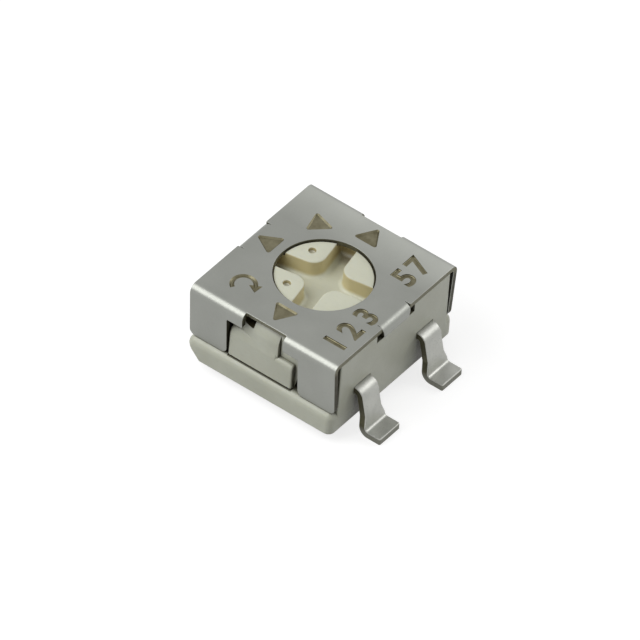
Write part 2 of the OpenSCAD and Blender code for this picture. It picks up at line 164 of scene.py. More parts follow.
def creasePlates(mesh, areaRatio=10, bend=0.02):
    # Ends smooth shading where a bend meets a much larger flat face, which so stays flat
    bm = bmesh.new()
    bm.from_mesh(mesh)
    for edge in bm.edges:
        if len(edge.link_faces) == 2:
            small, large = sorted(face.calc_area() for face in edge.link_faces)
            if large > areaRatio * small and edge.calc_face_angle(0) > bend:
                edge.smooth = False
    bm.to_mesh(mesh)
    bm.free()


def finishSolid(piece, body, nodes, sharp, flatPlates=False):
    # Cleans the mesh, scales it to metres, shades it and seats it on its body.
    # sharp is the angle in degrees past which an edge stays sharp.
    bm = bmesh.new()
    bm.from_mesh(piece.data)
    bmesh.ops.remove_doubles(bm, verts=bm.verts[:], dist=weldReach)
    bmesh.ops.dissolve_degenerate(bm, edges=bm.edges[:], dist=0.4 * weldReach)
    bmesh.ops.scale(bm, vec=(mm, mm, mm), verts=bm.verts[:])
    for face in bm.faces:
        face.smooth = True
    bm.to_mesh(piece.data)
    bm.free()
    piece.data.set_sharp_from_angle(angle=math.radians(sharp))
    if flatPlates:
        creasePlates(piece.data)
    weighted = piece.modifiers.new("evenShading", "WEIGHTED_NORMAL")
    weighted.keep_sharp = True
    weighted.weight = 80
    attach(piece, body)
    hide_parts(*nodes)
    return piece


# Materials

def startMaterial(name, colour, metallic=0.0):
    material = bpy.data.materials.new(name)
    material.use_nodes = True
    shader = material.node_tree.nodes["Principled BSDF"]
    shader.inputs["Base Color"].default_value = (*colour, 1)
    shader.inputs["Metallic"].default_value = metallic
    return material, shader


def addNode(material, kind, links=None, **settings):
    node = material.node_tree.nodes.new(kind)
    for key, value in settings.items():
        if key in node.inputs:
            node.inputs[key].default_value = value
        else:
            setattr(node, key, value)
    for socket, source in (links or {}).items():
        material.node_tree.links.new(source, node.inputs[socket])
    return node


def objectPlace(material, stretch=(1, 1, 1)):
    place = addNode(material, "ShaderNodeTexCoord")
    mapping = addNode(material, "ShaderNodeMapping", {"Vector": place.outputs["Object"]})
    mapping.inputs["Scale"].default_value = stretch
    return mapping.outputs["Vector"]


def noise(material, vector, size, detail=3.0, rough=0.55):
    # size is the length of one blotch in millimetres
    node = addNode(material, "ShaderNodeTexNoise", {"Vector": vector}, Detail=detail)
    node.inputs["Scale"].default_value = 1 / (size * mm)
    node.inputs["Roughness"].default_value = rough
    return node.outputs["Fac"]


def spread(material, value, low, high, fromLow=0.3, fromHigh=0.7):
    node = addNode(material, "ShaderNodeMapRange", {"Value": value})
    node.inputs["From Min"].default_value = fromLow
    node.inputs["From Max"].default_value = fromHigh
    node.inputs["To Min"].default_value = low
    node.inputs["To Max"].default_value = high
    return node.outputs["Result"]


def mixColours(material, factor, first, second, blend="MIX"):
    node = addNode(material, "ShaderNodeMix", data_type="RGBA", blend_type=blend)
    sockets = {s.identifier: s for s in node.inputs}
    links = material.node_tree.links
    for socket, value in ((sockets["Factor_Float"], factor), (sockets["A_Color"], first),
                          (sockets["B_Color"], second)):
        if isinstance(value, bpy.types.NodeSocket):
            links.new(value, socket)
        elif isinstance(value, (int, float)):
            socket.default_value = value
        else:
            socket.default_value = (*value, 1)
    return next(s for s in node.outputs if s.identifier == "Result_Color")


def linkSurface(material, shader, colour, grain, roughness, bumps):
    # The roughness follows the grain. bumps is a list of (height socket, depth in millimetres).
    tree = material.node_tree
    tree.links.new(colour, shader.inputs["Base Color"])
    tree.links.new(spread(material, grain, *roughness), shader.inputs["Roughness"])
    normal = None
    for height, depth in bumps:
        links = {"Height": height}
        if normal:
            links["Normal"] = normal
        bump = addNode(material, "ShaderNodeBump", links, Strength=1.0)
        bump.inputs["Distance"].default_value = depth * mm
        normal = bump.outputs["Normal"]
    tree.links.new(normal, shader.inputs["Normal"])


def paintedRecessShade(material, tint, recess):
    # Painted shade: darkens a colour in corners and under edges, where the light hardly comes in
    occlusion = addNode(material, "ShaderNodeAmbientOcclusion", samples=12)
    occlusion.inputs["Distance"].default_value = recess["reach"] * mm
    depth = spread(material, occlusion.outputs["AO"], 1, 0, *recess["limits"])
    return mixColours(material, depth, tint, recess["colour"])


def wallMask(material, low=0.25, high=0.75):
    # 1 on faces that look sideways, 0 on those that look up or down
    geometry = addNode(material, "ShaderNodeNewGeometry")
    split = addNode(material, "ShaderNodeSeparateXYZ", {"Vector": geometry.outputs["Normal"]})
    flat = addNode(material, "ShaderNodeMath", operation="ABSOLUTE")
    material.node_tree.links.new(split.outputs["Z"], flat.inputs[0])
    return spread(material, flat.outputs["Value"], 1, 0, low, high)


steelLook = {
    "colour": (0.272, 0.279, 0.256),
    "worn": (0.33, 0.337, 0.312),
    "blotch": 1.1,
    "grain": 0.035,
    "rolled": 0.05,
    "rolledStretch": (1, 0.04, 1),
    "roughness": (0.32, 0.42),
    "bumps": {"rolled": 0.0004, "grain": 0.0005, "blotch": 0.004},
    "paintedSheen": (0.96, 1.37),   # painted sheen: how light the sheet is, and how much lighter along its +X side
    "paintedSheenBand": (0.9, 2.0),             # the stretch of x over which it changes
    "farFold": 0.6,           # painted shade: how much darker over the +X fold
    "farFoldBand": (2.07, 2.17),
}
markLook = {
    "colour": (0.12, 0.108, 0.062),
    "lighter": (0.20, 0.185, 0.12),
    "metallic": 0.8,
    "blotch": 0.2,
    "speckle": 0.03,
    "speckleDepth": 0.0015,
    "roughness": (0.28, 0.44),
}
# Sheared edges, dark partly as bare sheared metal and partly as painted shade, with a lighter
# second colour, painted light, that comes in over a band of heights
edgeLook = {
    "shearedEdge": {"colour": (0.035, 0.033, 0.02), "lighter": 1.5,
                    "second": (0.14, 0.135, 0.09), "band": (2.05, 2.2)},
    "leadSide": {"colour": (0.055, 0.052, 0.03), "lighter": 1.8,
                 "second": (0.17, 0.17, 0.14), "band": (0.28, 0.14)},
}
# What both sheared edges share
edgeGrain = {
    "metallic": 0.7,
    "blotch": 0.3,
    "lines": 0.02,
    "linesStretch": (1, 1, 0.15),
    "linesDepth": 0.002,
    "roughness": (0.4, 0.6),
}


def coverSteel():
    material, shader = startMaterial("satinSheet", steelLook["colour"], 1.0)
    place = objectPlace(material)
    blotch = noise(material, place, steelLook["blotch"], 4)
    grain = noise(material, place, steelLook["grain"], 2)
    rolled = noise(material, objectPlace(material, steelLook["rolledStretch"]),
                   steelLook["rolled"], 2)
    colour = mixColours(material, spread(material, blotch, 0, 0.5), steelLook["colour"],
                        steelLook["worn"])
    across = addNode(material, "ShaderNodeSeparateXYZ", {"Vector": place}).outputs["X"]
    # Painted sheen, lighter towards the +X side, and painted shade over the +X fold
    for levels, band in ((steelLook["paintedSheen"], steelLook["paintedSheenBand"]),
                         ((1, steelLook["farFold"]), steelLook["farFoldBand"])):
        level = spread(material, across, *levels, *(x * mm for x in band))
        grey = addNode(material, "ShaderNodeCombineColor", {"Red": level, "Green": level,
                                                            "Blue": level}).outputs["Color"]
        colour = mixColours(material, 1.0, colour, grey, "MULTIPLY")
    bumps = steelLook["bumps"]
    linkSurface(material, shader, colour, grain, steelLook["roughness"],
                [(rolled, bumps["rolled"]), (grain, bumps["grain"]), (blotch, bumps["blotch"])])
    return material


def cutEdge(name):
    # Darker than the sheet, partly as bare sheared metal and partly as painted shade, with fine
    # lines across it
    look = edgeLook[name]
    material, shader = startMaterial(name, look["colour"], edgeGrain["metallic"])
    place = objectPlace(material)
    lines = noise(material, objectPlace(material, edgeGrain["linesStretch"]),
                  edgeGrain["lines"], 2)
    broad = noise(material, place, edgeGrain["blotch"], 3)
    tint = mixColours(material, spread(material, broad, 0, 1), look["colour"],
                      tuple(look["lighter"] * c for c in look["colour"]))
    # Painted light: the lighter second colour over a band of heights, where the edge stands open to
    # the light
    height = addNode(material, "ShaderNodeSeparateXYZ", {"Vector": place}).outputs["Z"]
    share = spread(material, height, 0, 1, *(z * mm for z in look["band"]))
    tint = mixColours(material, share, tint, look["second"])
    linkSurface(material, shader, tint, lines, edgeGrain["roughness"],
                [(lines, edgeGrain["linesDepth"])])
    return material


def pressedMark():
    # Bottoms and walls of the pressed marks, with an olive-brown tint
    material, shader = startMaterial("pressedMark", markLook["colour"], markLook["metallic"])
    place = objectPlace(material)
    speckle = noise(material, place, markLook["speckle"], 3)
    broad = noise(material, place, markLook["blotch"], 3)
    colour = mixColours(material, spread(material, broad, 0, 1), markLook["colour"],
                        markLook["lighter"])
    linkSurface(material, shader, colour, speckle, markLook["roughness"],
                [(speckle, markLook["speckleDepth"])])
    return material


# Painted shade for corners and recesses: its colour, how far it looks and where it begins and ends
bodyPaintedShade = {"colour": (0.05, 0.042, 0.018), "reach": 0.6, "limits": (0.2, 0.76)}
rotorPaintedShade = {"colour": (0.12, 0.075, 0.018), "reach": 0.45, "limits": (0.15, 0.62)}
plasticLook = {
    "bodyPlastic": {"colour": (0.57, 0.585, 0.485), "shade": (0.50, 0.512, 0.415),
                    "recess": bodyPaintedShade, "roughness": (0.3, 0.42)},
    # Painted shade: the dark plastic of the pocket under the cover's notch
    "recessShade": {"colour": (0.17, 0.15, 0.095), "shade": (0.11, 0.095, 0.06),
                    "recess": bodyPaintedShade, "roughness": (0.3, 0.42)},
    "rotorPlastic": {"colour": (0.72, 0.73, 0.585), "shade": (0.6696, 0.6789, 0.54405),
                     "recess": rotorPaintedShade, "roughness": (0.36, 0.48),
                     # painted shade for the sideways walls
                     "wall": (0.62, 0.55, 0.31)},
}
# What all moulded plastics share: sizes and depths of their texture, shine and translucency
mouldedGrain = {
    "flow": 0.9,
    "flowDepth": 0.006,
    "fibre": 0.06,
    "fibreStretch": (1, 0.35, 1),
    "fibreShade": 0.85,
    "texture": 0.018,
    "textureDepth": 0.0012,
    "specular": 0.55,
    "translucency": 0.12,
    "bleed": (1, 0.85, 0.5),
    "bleedReach": 0.08,
}


def mouldedPlastic(name):
    look, grain = plasticLook[name], mouldedGrain
    material, shader = startMaterial(name, look["colour"])
    place = objectPlace(material)
    flow = noise(material, place, grain["flow"], 4)
    fibre = noise(material, objectPlace(material, grain["fibreStretch"]), grain["fibre"], 3)
    texture = noise(material, place, grain["texture"], 2)
    tint = mixColours(material, spread(material, flow, 0, 1), look["colour"], look["shade"])
    tint = mixColours(material, spread(material, fibre, 0, 0.25, 0.55, 0.75), tint,
                      tuple(grain["fibreShade"] * c for c in look["shade"]))
    # Painted shade: faces that look sideways take the darker, browner wall colour
    if "wall" in look:
        tint = mixColours(material, wallMask(material), tint, look["wall"])
    # Painted shade in corners and recesses
    tint = paintedRecessShade(material, tint, look["recess"])
    shader.inputs["Specular IOR Level"].default_value = grain["specular"]
    shader.inputs["Subsurface Weight"].default_value = grain["translucency"]
    shader.inputs["Subsurface Radius"].default_value = grain["bleed"]
    shader.inputs["Subsurface Scale"].default_value = grain["bleedReach"] * mm
    linkSurface(material, shader, tint, fibre, look["roughness"],
                [(texture, grain["textureDepth"]), (flow, grain["flowDepth"])])
    return material


# Each finish: its two colours, its roughness, and the size and depth of its grain.
# The wave is a broad unevenness, on strip, solder and spring.
surfaceLook = {
    "tinPlate": {"colours": ((0.47, 0.475, 0.44), (0.39, 0.395, 0.365)),
                 "roughness": (0.27, 0.38), "depth": 0.0005, "metallic": 0.7, "wave": 0.004},
    "solderMetal": {"colours": ((0.50, 0.505, 0.50), (0.40, 0.405, 0.40)),
                    "roughness": (0.2, 0.3), "metallic": 1.0, "wave": 0.004},
    "springAlloy": {"colours": ((0.62, 0.52, 0.30), (0.52, 0.43, 0.25)),
                    "roughness": (0.2, 0.34), "metallic": 1.0, "wave": 0.004},
    "sealRubber": {"colours": ((0.36, 0.09, 0.05), (0.28, 0.07, 0.04)),
                   "roughness": (0.5, 0.65), "grain": 0.02, "depth": 0.001},
    "alumina": {"colours": ((0.80, 0.79, 0.74), (0.72, 0.71, 0.66)),
                "roughness": (0.5, 0.7), "grain": 0.015, "depth": 0.0015},
    "resistorInk": {"colours": ((0.035, 0.036, 0.04), (0.06, 0.06, 0.065)),
                    "roughness": (0.3, 0.5), "grain": 0.012},
    "conductorInk": {"colours": ((0.52, 0.51, 0.47), (0.44, 0.43, 0.39)),
                     "roughness": (0.3, 0.45), "grain": 0.014, "depth": 0.0015,
                     "metallic": 0.9},
    "castResin": {"colours": ((0.34, 0.29, 0.17), (0.27, 0.23, 0.13)),
                  "roughness": (0.12, 0.3), "grain": 0.05, "depth": 0.002},
}


def grainedSurface(name, colours, roughness, grain=0.03, depth=0.0012, metallic=0.0, wave=0.0):
    material, shader = startMaterial(name, colours[0], metallic)
    place = objectPlace(material)
    fine = noise(material, place, grain, 3)
    broad = noise(material, place, 0.35 if wave else 0.5, 3)
    tint = mixColours(material, spread(material, broad, 0, 1), *colours)
    linkSurface(material, shader, tint, fine, roughness,
                [(fine, depth)] + ([(broad, wave)] if wave else []))
    return material


satinSheet = coverSteel()
shearedEdge = cutEdge("shearedEdge")
markFloor = pressedMark()
bodyPlastic = mouldedPlastic("bodyPlastic")
recessShade = mouldedPlastic("recessShade")
rotorPlastic = mouldedPlastic("rotorPlastic")
leadSide = cutEdge("leadSide")
surfaces = {name: grainedSurface(name, **look) for name, look in surfaceLook.items()}
print("materials ready")


# Cover: a flat blank with its marks, folded down at both sides and at the two tabs

cover = {
    "length": 4.07,
    "sheet": 0.13,
    "foldStart": 2.05,        # from the middle to where each long fold begins
    "foldRadius": 0.2,
    "foldTurn": 94.5,         # the sides lean in past upright
    "sideReach": 1.298,       # straight stretch of a folded side
    "top": 2.36,
    "holeRadius": 1.16,
    "holePoints": 120,
    "notchWidth": 1.13,
    "notchX": 2.1,
    "notchCorners": (0.02, 0.03),
    "windowWidth": 2.0,
    "windowDrop": 0.4,
    "windowCorner": 0.04,
    "legCorner": 0.15,
    "tabRoot": 1.0,
    "tabTip": 0.9,
    "tabTaper": 60,           # how far round its fold a tab begins to narrow, in degrees
    "tabCorners": (0.03, 0.04),
    "tabStart": 1.89,
    "tabFoldRadius": 0.18,
    "tabDrop": 0.32,
    "slit": 0.015,            # free cut at each side of a tab's root
    "rimEase": 0.014,
    "foldSteps": 18,
}


def foldOver(out, depth, radius, turn):
    # Where a point of the blank goes, as (sideways, down) from the fold's start
    angle = min(out / radius, turn)
    rest = max(out - radius * turn, 0)
    return ((radius + depth) * math.sin(angle) + rest * math.cos(turn),
            radius - (radius + depth) * math.cos(angle) + rest * math.sin(turn))


def blankReach(drop, radius, turn):
    # How far along the blank a point lies that ends up at the given drop below the top
    return radius * turn + (drop - radius + radius * math.cos(turn)) / math.sin(turn)


def coverOutline():
    turn = math.radians(cover["foldTurn"])
    halfL = cover["length"] / 2
    notchU = cover["foldStart"] + cover["foldRadius"] * math.asin(
        (cover["notchX"] - cover["foldStart"]) / cover["foldRadius"])
    windowU = cover["foldStart"] + blankReach(cover["windowDrop"], cover["foldRadius"], turn)
    endU = cover["foldStart"] + cover["foldRadius"] * turn + cover["sideReach"]
    halfWindow, halfNotch = cover["windowWidth"] / 2, cover["notchWidth"] / 2
    slopeY = cover["tabStart"] + cover["tabFoldRadius"] * math.radians(cover["tabTaper"])
    tipY = cover["tabStart"] + blankReach(cover["tabDrop"], cover["tabFoldRadius"], math.pi / 2)
    halfRoot, halfTip = cover["tabRoot"] / 2, cover["tabTip"] / 2
    slit, tabStart, legCorner = cover["slit"], cover["tabStart"], cover["legCorner"]
    innerNotch, outerNotch = cover["notchCorners"]
    slopeCorner, tipCorner = cover["tabCorners"]
    quarter = [  # from the middle of the +X side round to the middle of the +Y end
        (notchU, halfNotch, innerNotch), (windowU, halfNotch, outerNotch),
        (windowU, halfWindow, cover["windowCorner"]), (endU, halfWindow, legCorner),
        (endU, halfL, legCorner), (cover["foldStart"], halfL, 0), (halfRoot + slit, halfL, slit),
        (halfRoot + slit, tabStart, 0), (halfRoot, tabStart, 0),
        (halfRoot, slopeY, slopeCorner), (halfTip, tipY, tipCorner)]
    mirrored = [(-x, y, r) for x, y, r in quarter][::-1]
    half = quarter + mirrored
    whole = half + [(-x, -y, r) for x, y, r in half]
    return roundedOutline([(x, y) for x, y, r in whole], [r for x, y, r in whole], 0, 5)


def blankSlab(outlines, sheet, ease):
    # A flat sheet with its top at z = 0, holes cut and both rims eased.
    # The rims are told by the slant between their two faces, the sheared walls by their own.
    rimSlant, wallSlant = 0.5, 0.2
    bm = bmesh.new()
    for outline in outlines:
        loop = [bm.verts.new((x, y, 0)) for x, y in outline]
        for i in range(len(loop)):
            bm.edges.new((loop[i - 1], loop[i]))
    bmesh.ops.triangle_fill(bm, use_beauty=True, edges=bm.edges[:], normal=(0, 0, 1))
    bmesh.ops.dissolve_limit(bm, angle_limit=0.01, verts=bm.verts[:], edges=bm.edges[:],
                             delimit={"NORMAL"}, use_dissolve_boundaries=False)
    made = bmesh.ops.extrude_face_region(bm, geom=bm.faces[:])
    bmesh.ops.translate(bm, vec=(0, 0, -sheet),
                        verts=[g for g in made["geom"] if isinstance(g, bmesh.types.BMVert)])
    bmesh.ops.recalc_face_normals(bm, faces=bm.faces[:])
    rims = [e for e in bm.edges if len(e.link_faces) == 2
            and abs(e.link_faces[0].normal.z - e.link_faces[1].normal.z) > rimSlant]
    bmesh.ops.bevel(bm, geom=rims, offset=ease, offset_type="OFFSET", segments=2,
                    profile=0.5, affect="EDGES", clamp_overlap=True)
    for face in bm.faces:
        face.material_index = 1 if abs(face.normal.z) < wallSlant else 0
    return bm


def foldLines(bm, lines, axis):
    # Cuts the blank along straight lines, so that it can bend there.
    # Points nearer to a line than the snap are taken to lie on it.
    snap = 0.0008
    normal = Vector((1, 0, 0)) if axis == "x" else Vector((0, 1, 0))
    for line in lines:
        bmesh.ops.bisect_plane(bm, geom=bm.verts[:] + bm.edges[:] + bm.faces[:], dist=snap,
                               plane_co=normal * line, plane_no=normal)


def bendCover(bm):
    turn = math.radians(cover["foldTurn"])
    radius, tabRadius = cover["foldRadius"], cover["tabFoldRadius"]
    tabHalf = cover["tabRoot"] / 2 + cover["slit"] / 2
    steps = cover["foldSteps"]
    sideLines = [cover["foldStart"] + radius * turn * i / steps for i in range(steps + 1)]
    tabLines = [cover["tabStart"] + tabRadius * math.pi / 2 * i / steps for i in range(steps + 1)]
    foldLines(bm, sideLines + [-x for x in sideLines], "x")
    foldLines(bm, tabLines + [-y for y in tabLines], "y")
    for vert in bm.verts:
        x, y, depth = vert.co
        if abs(x) > cover["foldStart"]:
            across, down = foldOver(abs(x) - cover["foldStart"], depth, radius, turn)
            vert.co = (math.copysign(cover["foldStart"] + across, x), y, cover["top"] - down)
        elif abs(y) > cover["tabStart"] and abs(x) < tabHalf:
            across, down = foldOver(abs(y) - cover["tabStart"], depth, tabRadius, math.pi / 2)
            vert.co = (x, math.copysign(cover["tabStart"] + across, y), cover["top"] - down)
        else:
            vert.co.z += cover["top"]


marks = {
    "depth": 0.04,
    "draft": 0.035,           # how much narrower a mark is at its bottom
    "flare": 0.02,            # how much wider its cutter is above the sheet
    "indexAngles": (0, 43.5, 90, 180),
    "indexBase": 1.40,        # from the axis to a triangle's base
    "indexTip": 1.97,
    "indexHalf": 0.33,
    "indexShift": (0.03, -0.04),
    "indexCorner": 0.05,
    "diagonalShift": 0.07,    # the slanted triangle stands further out
    "digitHeight": 0.56,
    "fontShare": 0.7,         # a digit's height as a share of the font's size
    "digitBold": 0.012,
    "digitBevel": 0.012,
    "digitHalf": 0.045,       # half the height of a digit's cutter, without its bevel
    "digits": (("1", -1.58, -1.55), ("2", -1.04, -1.56), ("3", -0.45, -1.56),
               ("5", 1.10, -1.44), ("7", 1.62, -1.44)),
    "arrowCentre": (-1.42, 1.17),
    "arrowRadius": 0.27,
    "arrowWidth": 0.11,
    "arrowTurns": (150, -60),
    "arrowSteps": 18,
    "arrowHead": (1.4, 2.1),  # the head's half width and length, in widths of the line
}


def markCutter(name, corners, radius):
    top = cover["top"]
    return loftedSolid(name, [
        (z, roundedOutline(corners, radius, grow, 3)) for z, grow in
        ((top - marks["depth"], -marks["draft"]), (top, 0), (top + past, marks["flare"]))],
        [markFloor])


def indexMarks():
    cutters = []
    for angle in marks["indexAngles"]:
        out = marks["diagonalShift"] if angle % 90 else 0
        base, tip, half = marks["indexBase"] + out, marks["indexTip"] + out, marks["indexHalf"]
        corners = [(x + marks["indexShift"][0], y + marks["indexShift"][1])
                   for x, y in turned([(base, -half), (tip, 0), (base, half)], angle)]
        cutters.append(markCutter(f"indexCutter{int(angle)}", corners, marks["indexCorner"]))
    return cutters


def arrowMark():
    # Plain curved arrow for the sense of rotation
    r, w = marks["arrowRadius"], marks["arrowWidth"]
    start, end = marks["arrowTurns"]
    half, length = marks["arrowHead"]
    outer = arcPoints((0, 0), r + w / 2, start, end, marks["arrowSteps"])
    inner = arcPoints((0, 0), r - w / 2, end, start, marks["arrowSteps"])
    headWay = math.radians(end)
    along = Vector((math.sin(headWay), -math.cos(headWay)))
    foot = Vector((math.cos(headWay), math.sin(headWay)))
    head = [tuple(foot * (r + half * w)), tuple(foot * r + along * length * w),
            tuple(foot * (r - half * w))]
    corners = [(x + marks["arrowCentre"][0], y + marks["arrowCentre"][1])
               for x, y in outer + head + inner][::-1]
    return markCutter("arrowCutter", corners, 0)


def digitMark(text, x, y):
    curve = bpy.data.curves.new("digitCurve", "FONT")
    curve.body = text
    curve.align_x = "CENTER"
    curve.align_y = "CENTER"
    curve.size = marks["digitHeight"] / marks["fontShare"]
    curve.resolution_u = 4
    curve.extrude = marks["digitHalf"]
    curve.bevel_depth = marks["digitBevel"]
    curve.bevel_resolution = 0
    curve.offset = marks["digitBold"]
    shape = bpy.data.objects.new("digitShape", curve)
    scene.collection.objects.link(shape)
    depsgraph = bpy.context.evaluated_depsgraph_get()
    mesh = bpy.data.meshes.new_from_object(shape.evaluated_get(depsgraph))
    bpy.data.objects.remove(shape)
    bm = bmesh.new()
    bm.from_mesh(mesh)
    bpy.data.meshes.remove(mesh)
    bmesh.ops.remove_doubles(bm, verts=bm.verts[:], dist=weldReach)
    lowest = min(v.co.z for v in bm.verts)
    middle = (min(v.co.x for v in bm.verts) + max(v.co.x for v in bm.verts)) / 2
    bmesh.ops.translate(bm, verts=bm.verts[:], vec=(
        x - middle, y, cover["top"] - marks["depth"] - lowest))
    for face in bm.faces:
        face.material_index = 0
    return meshObject("digitCutter" + text, bm, [markFloor])


def makeCover():
    hole = circlePoints((0, 0), cover["holeRadius"], cover["holePoints"])
    bm = blankSlab([coverOutline(), hole], cover["sheet"], cover["rimEase"])
    bendCover(bm)
    piece = meshObject("foldedCover", bm, [satinSheet, shearedEdge])
    cutters = indexMarks() + [arrowMark()] + [digitMark(*digit) for digit in marks["digits"]]
    combine(piece, cutters, "DIFFERENCE")
    return finishSolid(piece, "base", ["cover"], 20, True)


makeCover()
print("cover folded")


# Housing: moulded body under the cover

housing = {
    "low": 0.26,
    "ledge": 0.84,            # top of the skirt
    "high": 2.23,
    "width": 4.5,
    "length": cover["length"],
    "upperHalf": 1.998,       # half width of the two blocks above the skirt
    "frontBlock": 0.35,
    "backBlock": 1.1,
    "blockLift": 0.03,
    "blockEase": 0.02,
    "rooted": 0.1,            # how deep barrel and pads stand in the skirt
    "overlap": 0.02,          # how far the barrel runs into the back block
    "barrelRadius": 2.117,
    "barrelEase": 0.4,
    "barrelPoints": 160,
    "padHalf": 2.137,         # half width over the window pads
    "padReach": (-0.8, 0.97),
    "padStep": -0.33,         # where the pad's upper edge steps up
    "padHigh": (1.54, 1.76),
    "padEase": (0.13, 0.3),
    "padEndEase": 0.05,
    "groove": {"inner": 2.03, "outer": 2.185, "low": 0.81, "high": 0.878, "longer": 0.01},
    "notchPocket": ((0.36, 1.95), (0.66, 2.3)),    # its corners in y and z
    "notchPocketDepth": 1.72,
    "notchPocketEase": 0.04,
    "skirtCorner": 0.17,
    "skirtEase": (0.03, 0.2),
    "blockCorner": 0.03,
    "relief": {"inner": 0.8, "width": 0.34, "height": 0.72, "depth": 0.22},
    "chamferY": 0.4,
    "chamferZ": 0.41,
    "pocket": ((-1.55, -1.60), (1.55, 1.45)),
    "pocketTop": 1.01,
    "hubHole": 1.27,
    "webTop": 1.30,
    "wellRadius": 1.58,
    "stopRadii": (1.0, 1.75),
    "stopFloor": 1.98,
    "stopReach": (-205, 25),
    "leadPlace": 1.15,        # from the middle to the two front leads
    "stripLow": 1.03,
    "stripHigh": 1.21,
    "stripHalf": 0.29,
    "landFront": 1.37,        # from the axis to the buried end of a front lead
    "landBack": 1.32,
    "landOver": 0.09,
    "slotPlay": 0.012,
    "tabSidePlay": 0.24,
    "tabPlay": 0.02,
}


def blockTool(name, low, high):
    return easedSolid(name, rectangle(low[:2], high[:2]), low[2], high[2])


def leadSlotTool(name, x, start, end):
    # Slot for a buried strip
    play = housing["slotPlay"]
    half = housing["stripHalf"] + play
    y0, y1 = sorted((start, end))
    return blockTool(name, (x - half, y0, housing["stripLow"] - play),
                     (x + half, y1, housing["stripHigh"] + play))


def chamferTool():
    # Slanted cut along the lower edge of the back
    half, low, out = housing["length"] / 2, housing["low"], housing["width"]
    slope = housing["chamferZ"] / housing["chamferY"]
    profile = [(half + past, low - past), (half + past, low + housing["chamferZ"] + past * slope),
               (half - housing["chamferY"] - past / slope, low - past)]
    return loftedSolid("chamferTool", [(-out, profile), (out, profile)], along="x")


def reliefTool(side):
    # Moulding relief beside a window pad: a slanted pocket above the skirt
    relief, z = housing["relief"], housing["ledge"]
    inner, width = relief["inner"], relief["width"]
    profile = [(-inner, z), (-inner - width / 2, z + relief["height"]),
               (-inner - width, z + relief["height"]), (-inner - width, z)]
    xs = sorted((side * (housing["upperHalf"] - relief["depth"]),
                 side * (housing["upperHalf"] + past)))
    return loftedSolid("reliefTool", [(x, profile) for x in xs], along="x")


def tabRecessTools(side):
    # Room for a tab's lower end and, above it, for its fold
    half = cover["tabTip"] / 2 + housing["tabSidePlay"]
    face = cover["tabStart"] + cover["tabFoldRadius"]
    play, top = housing["tabPlay"], housing["high"] + past
    boxes = [(half, face - cover["sheet"] - play, cover["top"] - cover["tabDrop"] - play),
             (cover["tabRoot"] / 2, cover["tabStart"] - play,
              cover["top"] - cover["tabFoldRadius"] - play)]
    tools = []
    for reach, inner, low in boxes:
        y0, y1 = sorted((side * inner, side * (face + past)))
        tools.append(blockTool("tabRecess", (-reach, y0, low), (reach, y1, top)))
    return tools


def ringSector(name, r0, r1, z0, z1, start, end):
    outline = arcPoints((0, 0), r1, start, end, 72) + arcPoints((0, 0), r0, end, start, 72)
    return loftedSolid(name, [(z0, outline), (z1, outline)])


def makeBarrel():
    # The barrel, cut off at the front block and a little way into the back block
    radius, out = housing["barrelRadius"], housing["width"]
    profile = [(radius, housing["low"] + housing["rooted"])]
    profile += easedRim(radius, housing["high"], housing["barrelEase"], 10)
    barrel = lathedSolid("barrel", profile, housing["barrelPoints"])
    between = blockTool("barrelEnds", (-out, -housing["frontBlock"], 0),
                        (out, housing["backBlock"] + housing["overlap"], out))
    return combine(barrel, [between], "INTERSECT")


def makePads():
    # Window pads as two bars from side to side, with rounded upper and end edges
    start, end = housing["padReach"]
    half, low = housing["padHalf"], housing["ledge"] - housing["rooted"]
    endEase = housing["padEndEase"]
    reaches = ((start, 0), (housing["padStep"], end))
    pads = []
    for reach, high, ease in zip(reaches, housing["padHigh"], housing["padEase"]):
        pads.append(easedSolid("windowPad", rectangle((-half, low), (half, high)), *reach,
                               [0, 0, ease, ease], endEase, endEase, steps=8, along="y"))
    return pads


def grooveTool(side):
    # Shadow line at the foot of a window pad
    groove = housing["groove"]
    x0, x1 = sorted((side * groove["inner"], side * groove["outer"]))
    y0, y1 = housing["padReach"]
    return blockTool("grooveTool", (x0, y0 - groove["longer"], groove["low"]),
                     (x1, y1 + groove["longer"], groove["high"]))


def notchPocketTool(side):
    # Small pocket under one end of the cover's notch, its faces dark with painted shade
    (y0, z0), (y1, z1) = housing["notchPocket"]
    ease = housing["notchPocketEase"]
    x0, x1 = sorted((side * housing["notchPocketDepth"], side * (housing["width"] / 2 + past)))
    return easedSolid("notchPocket", rectangle((x0, y0), (x1, y1)), z0, z1, ease, ease, 0,
                      [recessShade])


